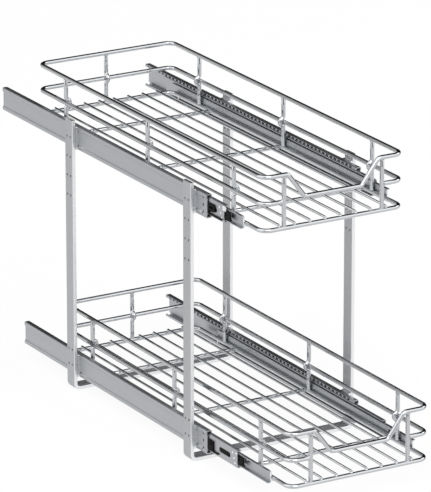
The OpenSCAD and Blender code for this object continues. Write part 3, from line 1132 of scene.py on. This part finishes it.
@dataclass(frozen=True)
class RoundSlot:
    """A slot with round ends: its length and height, its middle as y and v, and its span of u."""

    size: Pair
    at: Pair
    span: Pair

    def shape(self) -> Surface:
        """What cuts the slot, or fills it."""
        return slab(long_hole(*self.size) + self.at, *self.span)


# Centre lines of the two inward members' sections, as u and v in the slide's frame.
MIDDLE_SECTION = ((8.2, 10.4), (3.6, 10.4), (3.6, -10.4), (8.2, -10.4))
INNER_SECTION = ((4.6, 7.3), (8.4, 7.3), (8.4, -7.3), (4.6, -7.3))

# Outlines of the small parts at the slides' front ends, as y and v in the slide's frame.
# Each guide's outline starts with a long thin strip along its foot, reaching out in front of its
# body. The body is the real black guide. The strip is black plastic laid along the shadow gap at
# the middle member's lower corner, so it is painted shade.
HOOKED_GUIDE = (
    (0, -8.4), (-31.5, -8.4), (-32, -6.9), (-3, -6.6), (-3, -3.8), (-13.5, -3.8), (-16, -1.6),
    (-16, 3.6), (-14, 5.5), (0, 5.5),
)
FINNED_GUIDE = (
    (0, -8.0), (-24, -8.0), (-24.5, -6.5), (-12.5, -6.1), (-12.5, 5.5), (-9.4, 5.5), (-9.2, 0.5),
    (-8.0, 0.5), (-7.8, 5.5), (0, 5.5),
)
STOP = (
    (0, -3.8), (-16, -3.8), (-16, -2.4), (-13.5, -1.8), (-13.5, 6.0), (-4.5, 6.0), (-4.5, -1.4),
    (0, -1.4),
)
LUG = ((3.0, 4.2), (-4.5, 4.2), (-5.2, 8.0), (-3.0, 10.2), (3.0, 10.2))


@dataclass
class SlidePair:
    """The two telescopic slides of a tier, with their guides, cages and front details.

    Their parts are drawn in a slide's own frame: u from the outer member's back towards the
    basket, y from its front end to the back, and v up from its middle line. A span goes from
    one u to another.
    """

    tier: Tier
    # Where the slides stand: x of their backs, their middle above the bottom rail's, and y of
    # their front ends when closed.
    outside: float = 105.4
    lift: float = 2.0
    front: float = -32.5
    # The members' sheets, the inside of their folds, and how much shorter the middle one is.
    high: float = 29.0
    sheet: float = 1.2
    middle_sheet: float = 1.0
    middle_short: float = 12.0
    fold: float = 0.15
    # The outer member's section: its flanges' ends, its ball tracks, and its web.
    flange_u: float = 6.8
    flange_end: float = 11.3
    track_high: float = 3.6
    web_below: float = 4.8
    web_u: float = 1.8
    # Screw bores and notches in the outer members' backs, and the span that cuts them.
    outer_cut: Pair = (-1.0, 3.0)
    screw_v: float = 1.3
    screw_bore: float = 3.5
    notch: Pair = (2.2, 3.4)
    notch_y: float = 9.1
    notch_vs: tuple[float, ...] = (-9.1, 0.0, 9.1)
    # Windows in their upper lips, from the first one to a gap before the rear end.
    lip_span: Pair = (6.0, 7.8)
    lip_v: float = 12.85
    lip_window: Pair = (5.4, 2.2)
    lip_pitch: float = 8.7
    lip_start: float = 12.0
    lip_end: float = 8.0
    # Plates between the slides and the uprights, and the pads on them.
    spacer_bore: float = 3.6
    spacer_cut: Pair = (-4.0, 2.0)
    spacer_span: Pair = (-3.0, 0.0)
    pad_span: Pair = (-0.05, 1.18)
    pad_high: float = 17.6
    plate_corner: float = 0.8
    # Slots in the middle and inner members, the block in the middle one's, and the guides' eye.
    slot: RoundSlot = RoundSlot((25.4, 6.4), (28.7, 0.0), (2.0, 5.0))
    filler: RoundSlot = RoundSlot((25.2, 6.2), (28.7, 0.0), (2.95, 4.4))
    latch: RoundSlot = RoundSlot((9.0, 3.0), (49.0, 3.4), (7.0, 10.0))
    eye: RoundSlot = RoundSlot((8.4, 2.6), (-9.4, 1.2), (0.5, 3.0))
    # The plastic parts' spans and their bevel.
    guide_span: Pair = (1.25, 2.6)
    stop_span: Pair = (3.1, 4.5)
    plastic_edge: float = 0.15
    # Lug, rivet heads and pressed bump on the middle members: places and half sizes.
    lug_span: Pair = (2.75, 3.4)
    head_u: float = 3.1
    rivets: tuple[Pair, ...] = ((6.0, -6.4), (11.0, 5.6), (8.0, -0.6))
    rivet: Triple = (0.4, 1.5, 1.5)
    bump_at: Pair = (3.0, 6.6)
    bump: Triple = (0.4, 2.2, 1.2)
    # Where a cage's front end lies, past a quarter of the slide's length.
    cage_start: float = 4.0

    @property
    def upright_ys(self) -> list[float]:
        """Where the uprights stand along the slide."""
        return [y - self.front for y in FRAME_YS]

    def placed(self, surface: Surface, side: Side, share: Share) -> Surface:
        """Moves a surface from the slide's frame to the model's.

        Args:
            surface: The surface, in u, y and v.
            side: The side of the unit that it goes to.
            share: Its share of the basket's travel.

        Returns:
            The moved surface.
        """
        u, y, v = surface.points.T
        x = side.value * (self.outside - u)
        points = np.column_stack([
            x, y + self.front - share * self.tier.pull, v + self.tier.bottom + self.lift,
        ])
        return Surface(points, surface.faces, surface.along, surface.finish)

    def both(self, parts: Sequence[Surface], share: Share = Share.FIXED) -> Surface:
        """The parts on the left slide and on the right one."""
        return Surface.joined([self.placed(part, side, share) for side in Side for part in parts])

    def outer_section(self) -> list[Pair]:
        """The outer member's section: two flanges, two ball tracks, and a web set inwards.

        Returns:
            Its centre line, as u and v; the lower half mirrors the upper one.
        """
        t = self.sheet / 2
        top = self.high / 2 - t
        upper = [
            (self.flange_u, self.flange_end), (self.flange_u, top), (t, top),
            (t, top - self.track_high), (self.web_u, top - self.web_below),
        ]
        return upper + [(u, -v) for u, v in reversed(upper)]

    def screw_bores(self, diameter: float, span: Pair) -> list[Surface]:
        """Cutters for the two screws at each upright, along a span of u."""
        return [
            slab(disc(diameter) + [y + s * HOLE_GAP / 2, self.screw_v], *span)
            for y in self.upright_ys for s in (-1, 1)
        ]

    def outer_cuts(self) -> list[Surface]:
        """Notches near the front end, screw bores, and windows along the upper lip.

        Returns:
            One surface for each of the three.
        """
        w, h = self.notch[0] / 2, self.notch[1] / 2
        notch = np.array([(-w, -h), (w, -h), (w, h), (-w, h)])
        notches = [slab(notch + [self.notch_y, v], *self.outer_cut) for v in self.notch_vs]
        bores = self.screw_bores(self.screw_bore, self.outer_cut)
        window = soft_box(*self.lip_window, WINDOW_CORNER)
        ys = np.arange(self.lip_start, self.tier.slide_length - self.lip_end, self.lip_pitch)
        windows = [slab(window + [y, self.lip_v], *self.lip_span) for y in ys]
        return [Surface.joined(cuts) for cuts in (notches, bores, windows)]

    def member(
        self, what: str, side: Side, share: Share, section: Sequence[Sequence[float]],
        sheet: float, length: float, cutters: Sequence[Surface], body: str,
    ) -> None:
        """Makes one rolled member of a slide.

        Args:
            what: Which of the three members it is.
            side: The side of the unit that it is on.
            share: Its share of the basket's travel.
            section: Its section's centre line, as u and v.
            sheet: Thickness of its sheet.
            length: Its length.
            cutters: Shapes that are cut out of it, in the slide's frame.
            body: The body that it moves with.
        """
        name = f"{self.tier.name}_{side.name.lower()}_slide_{what}"
        shape = folded_sheet(section, sheet, sheet / 2 + self.fold, length)
        make_piece(
            f"{name}_finished", self.placed(shape, side, share), body,
            [ZINC_SHEET], [name], cutters=[self.placed(c, side, share) for c in cutters],
        )

    def plastics(self) -> None:
        """The outer members' black guides, and the middle ones' stops and slot fillers."""
        name = self.tier.name
        hooked = self.tier is UPPER
        # The guides' long thin foot strips are painted shade: black plastic along a shadow gap.
        guide = slab(HOOKED_GUIDE if hooked else FINNED_GUIDE, *self.guide_span)
        make_piece(
            f"{name}_outer_guides_finished", self.both([guide]), "frame",
            [BLACK_ACETAL], [f"{name}_outer_guides"], edge=self.plastic_edge,
            cutters=[self.both([self.eye.shape()])] if hooked else [],
        )
        stop = slab(STOP, *self.stop_span)
        make_piece(
            f"{name}_middle_guides_finished",
            self.both([stop, self.filler.shape()], Share.MIDDLE), f"{name}_middle",
            [BLACK_ACETAL], [f"{name}_middle_guides"], edge=self.plastic_edge,
        )

    def spacers(self) -> None:
        """Plates between slides and uprights, with pads that fill the recess in the slide."""
        name = self.tier.name
        bores = [self.both(self.screw_bores(self.spacer_bore, self.spacer_cut))]
        for piece, high, span, nodes in (
            (f"{name}_spacers_finished", self.high, self.spacer_span, [f"{name}_spacers"]),
            (f"{name}_spacer_pads", self.pad_high, self.pad_span, []),
        ):
            outline = soft_box(STRIP_WIDTH, high, self.plate_corner)
            plates = self.both([slab(outline + [y, 0.0], *span) for y in self.upright_ys])
            # The spacers and pads take the lighter plate, which paints light on faces that sit in
            # shade by the slide.
            make_piece(piece, plates, "frame", [SMOOTH_PLATE_PAINTED_LIGHT], nodes, cutters=bores)

    def lugs(self) -> None:
        """Pressed lugs and rivet heads on the front end of the middle members."""
        name = self.tier.name
        parts = [lump((self.head_u, *at), self.rivet, cols=12) for at in self.rivets]
        if self.tier is UPPER:
            parts.insert(0, slab(LUG, *self.lug_span))
        else:
            parts.append(lump((self.head_u, *self.bump_at), self.bump, cols=12))
        make_piece(
            f"{name}_middle_lugs", self.both(parts, Share.MIDDLE), f"{name}_middle",
            [SMOOTH_PLATE_PAINTED_LIGHT],
        )

    def cage(self, cage: Cage, side: Side) -> None:
        """Makes a ball cage; its front end starts a quarter of the slide's length in.

        Args:
            cage: Which of the two cages.
            side: The side of the unit that it is on.
        """
        tier = self.tier
        name = f"{tier.name}_{side.name.lower()}_{cage.name}_cage"
        front = self.cage_start + tier.slide_length / 4
        make_piece(
            f"{name}_finished", self.placed(cage.strips(front), side, cage.share),
            f"{tier.name}_{cage.name}_cage_pair", [CAGE_ACETAL], [name],
            cutters=[self.placed(cage.cutters(front), side, cage.share)],
        )

    def build(self) -> None:
        """Makes every piece of the pair."""
        name, length = self.tier.name, self.tier.slide_length
        self.spacers()
        self.plastics()
        self.lugs()
        for side in Side:
            self.cage(OUTER_CAGE, side)
            self.cage(INNER_CAGE, side)
        for side in Side:
            self.member(
                "outer", side, Share.FIXED, self.outer_section(), self.sheet, length,
                self.outer_cuts(), "frame",
            )
            self.member(
                "middle", side, Share.MIDDLE, MIDDLE_SECTION, self.middle_sheet,
                length - self.middle_short, [self.slot.shape()], f"{name}_middle",
            )
            self.member(
                "inner", side, Share.BASKET, INNER_SECTION, self.sheet, length,
                [self.latch.shape()], f"{name}_basket",
            )


# ---------------------------------------------------------------- studio


@dataclass(frozen=True)
class RoomStep:
    """A soft step in how bright the room is.

    Attributes:
        towards: The direction that it is measured along, of length 1.
        span: The dot products with that direction between which the step lies.
        levels: Brightness before and after the step.
    """

    towards: Triple
    span: Pair
    levels: Pair


# To the far right and up, to the back along the view, and to the front against it.
ROOM = (
    RoomStep((0.755, 0.553, 0.352), (0.32, 0.56), (1.0, 0.03)),
    RoomStep((0.506, 0.862, 0.0), (0.12, 0.42), (1.0, 0.34)),
    RoomStep((-0.506, -0.862, 0.0), (0.70, 0.95), (1.0, 0.12)),
)


@dataclass(frozen=True)
class Lamp:
    """A soft rectangular lamp: where it stands and its two sizes in metres, and its watts."""

    name: str
    place: Triple
    size: Pair
    power: float


@dataclass
class Studio:
    """A plain pale floor, soft light and the camera at the photograph's angle.

    The camera and the lamps are placed in metres, and the floor is drawn in millimetres.
    """

    # The camera: focal length and film width in mm, how far it sees, its place, and its turns
    # to the right and down, in degrees.
    lens: float = 366.62
    film: float = 36.0
    sight: float = 100.0
    place: Triple = (-2.8860, -4.7907, 2.1222)
    turn: float = 30.411
    down: float = 18.53
    # The room's light and the lamps.
    room_level: float = 1.6
    lamps: tuple[Lamp, ...] = (
        Lamp("front_window", (-0.6, -2.6, 2.2), (2.4, 1.6), 34.0),
        Lamp("side_window", (2.4, -0.6, 1.6), (1.6, 1.6), 18.0),
    )
    lamp_aim: Triple = (0.0, 0.1, 0.2)
    # The paper floor: half its side, its cells, its height, its tone, and how much of what the
    # camera sees is white.
    floor_reach: float = 12000.0
    floor_cells: int = 8
    floor_z: float = -0.2
    floor_tone: str = "#F6F6F5"
    floor_glow: float = 0.9

    def camera(self) -> None:
        """Looks down from the front left with a long lens."""
        lens = bpy.data.cameras.new("camera")
        lens.lens, lens.sensor_width, lens.clip_end = self.lens, self.film, self.sight
        obj = add_object("camera", lens)
        obj.location = self.place
        obj.rotation_euler = (
            math.pi / 2 - math.radians(self.down), 0.0, -math.radians(self.turn),
        )
        bpy.context.scene.camera = obj

    def light(self, lamp: Lamp) -> None:
        """Adds a lamp, turned towards the middle of the unit.

        Args:
            lamp: The lamp.
        """
        data = bpy.data.lights.new(lamp.name, "AREA")
        data.shape, data.size, data.size_y, data.energy = "RECTANGLE", *lamp.size, lamp.power
        obj = add_object(lamp.name, data)
        obj.location = lamp.place
        x, y, z = unit(np.array(self.lamp_aim) - np.array(lamp.place)).tolist()
        obj.rotation_euler = (math.acos(-z), 0.0, math.atan2(y, x) - math.pi / 2)

    def world(self) -> None:
        """A bright room with a dark far right side, so that bright metal has lines to show.

        The light from a direction is the product of three soft steps in how far that direction
        points to the far right, to the back and to the front.
        """
        world = bpy.data.worlds.new("studio")
        bpy.context.scene.world = world
        tree = bare_tree(world)
        way = add_node(tree, "ShaderNodeTexCoord").outputs["Generated"]
        level = None
        for room in ROOM:
            part = add_node(
                tree, "ShaderNodeVectorMath", {1: room.towards}, {0: way}, operation="DOT_PRODUCT"
            )
            (start, end), (before, after) = room.span, room.levels
            step = add_node(
                tree, "ShaderNodeMapRange",
                {"From Min": start, "From Max": end, "To Min": before, "To Max": after},
                {"Value": part.outputs["Value"]},
            ).outputs["Result"]
            if level is None:
                level = step
            else:
                level = add_node(
                    tree, "ShaderNodeMath", {}, {0: level, 1: step}, operation="MULTIPLY"
                ).outputs["Value"]
        lit = add_node(
            tree, "ShaderNodeBackground", {"Strength": self.room_level}, {"Color": level}
        )
        add_node(tree, "ShaderNodeOutputWorld", {}, {"Surface": lit.outputs["Background"]})

    def paper(self) -> bpy.types.Material:
        """Matt white paper; what the camera and the metal see of it is lifted to white.

        Returns:
            The floor's material.
        """
        made = bpy.data.materials.new("matt_white_paper")
        tree = bare_tree(made)
        matt = add_node(tree, "ShaderNodeBsdfDiffuse", {"Color": srgb(self.floor_tone)})
        glow = add_node(tree, "ShaderNodeEmission", {"Color": (1, 1, 1, 1), "Strength": 1.0})
        rays = add_node(tree, "ShaderNodeLightPath").outputs
        seen = rays["Is Camera Ray"]
        for ray in ("Is Glossy Ray", "Is Transmission Ray"):
            seen = add_node(
                tree, "ShaderNodeMath", {}, {0: seen, 1: rays[ray]}, operation="MAXIMUM"
            ).outputs[0]
        share = add_node(
            tree, "ShaderNodeMath", {1: self.floor_glow}, {0: seen}, operation="MULTIPLY"
        )
        mix = add_node(
            tree, "ShaderNodeMixShader", {},
            {0: share.outputs[0], 1: matt.outputs[0], 2: glow.outputs[0]},
        )
        add_node(tree, "ShaderNodeOutputMaterial", {}, {"Surface": mix.outputs[0]})
        return made

    def floor(self) -> None:
        """A wide flat floor just under the frames, as a grid of square cells."""
        n = self.floor_cells + 1
        line = np.linspace(-1, 1, n) * self.floor_reach
        y, x = np.meshgrid(line, line)
        points = np.stack([x, y, 0 * x + self.floor_z], -1).reshape(-1, 3)
        i = np.arange(n - 1)[:, None] * n + np.arange(n - 1)[None, :]
        faces = np.stack([i, i + n, i + n + 1, i + 1], -1).reshape(-1, 4)
        mesh = bpy.data.meshes.new("floor")
        mesh.from_pydata((points * MM).tolist(), [], faces.tolist())
        obj = add_object("floor", mesh)
        mesh.materials.append(self.paper())

    def build(self) -> None:
        """Sets the whole studio."""
        bpy.context.scene.view_settings.view_transform = "Standard"
        self.camera()
        self.world()
        self.floor()
        for lamp in self.lamps:
            self.light(lamp)


def dress_small_nodes(frame: dict[str, Any]) -> None:
    """Gives the CAD nodes that keep their shape their finishes.
    """
    small = {
        "slide_screws": ZINC_SMALL,
        "rail_clips": SMOOTH_PLATE_PAINTED_LIGHT,
        "outer_balls": BALL_STEEL,
        "inner_balls": BALL_STEEL,
    }
    for tier in (UPPER, LOWER):
        for what, finish in small.items():
            dress_node(frame, f"{tier.name}_{what}", finish)


def main() -> None:
    """Loads the frame, sets the studio and builds every piece."""
    logging.basicConfig(level=logging.INFO, format="%(name)s %(message)s")
    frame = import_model()
    Studio().build()
    for tier in (UPPER, LOWER):
        WireBasket(tier).build()
        SlidePair(tier).build()
    for name, y in zip(("front_frame", "rear_frame"), FRAME_YS):
        StripFrame(name, y).build()
    dress_small_nodes(frame)


if __name__ == "__main__":
    main()
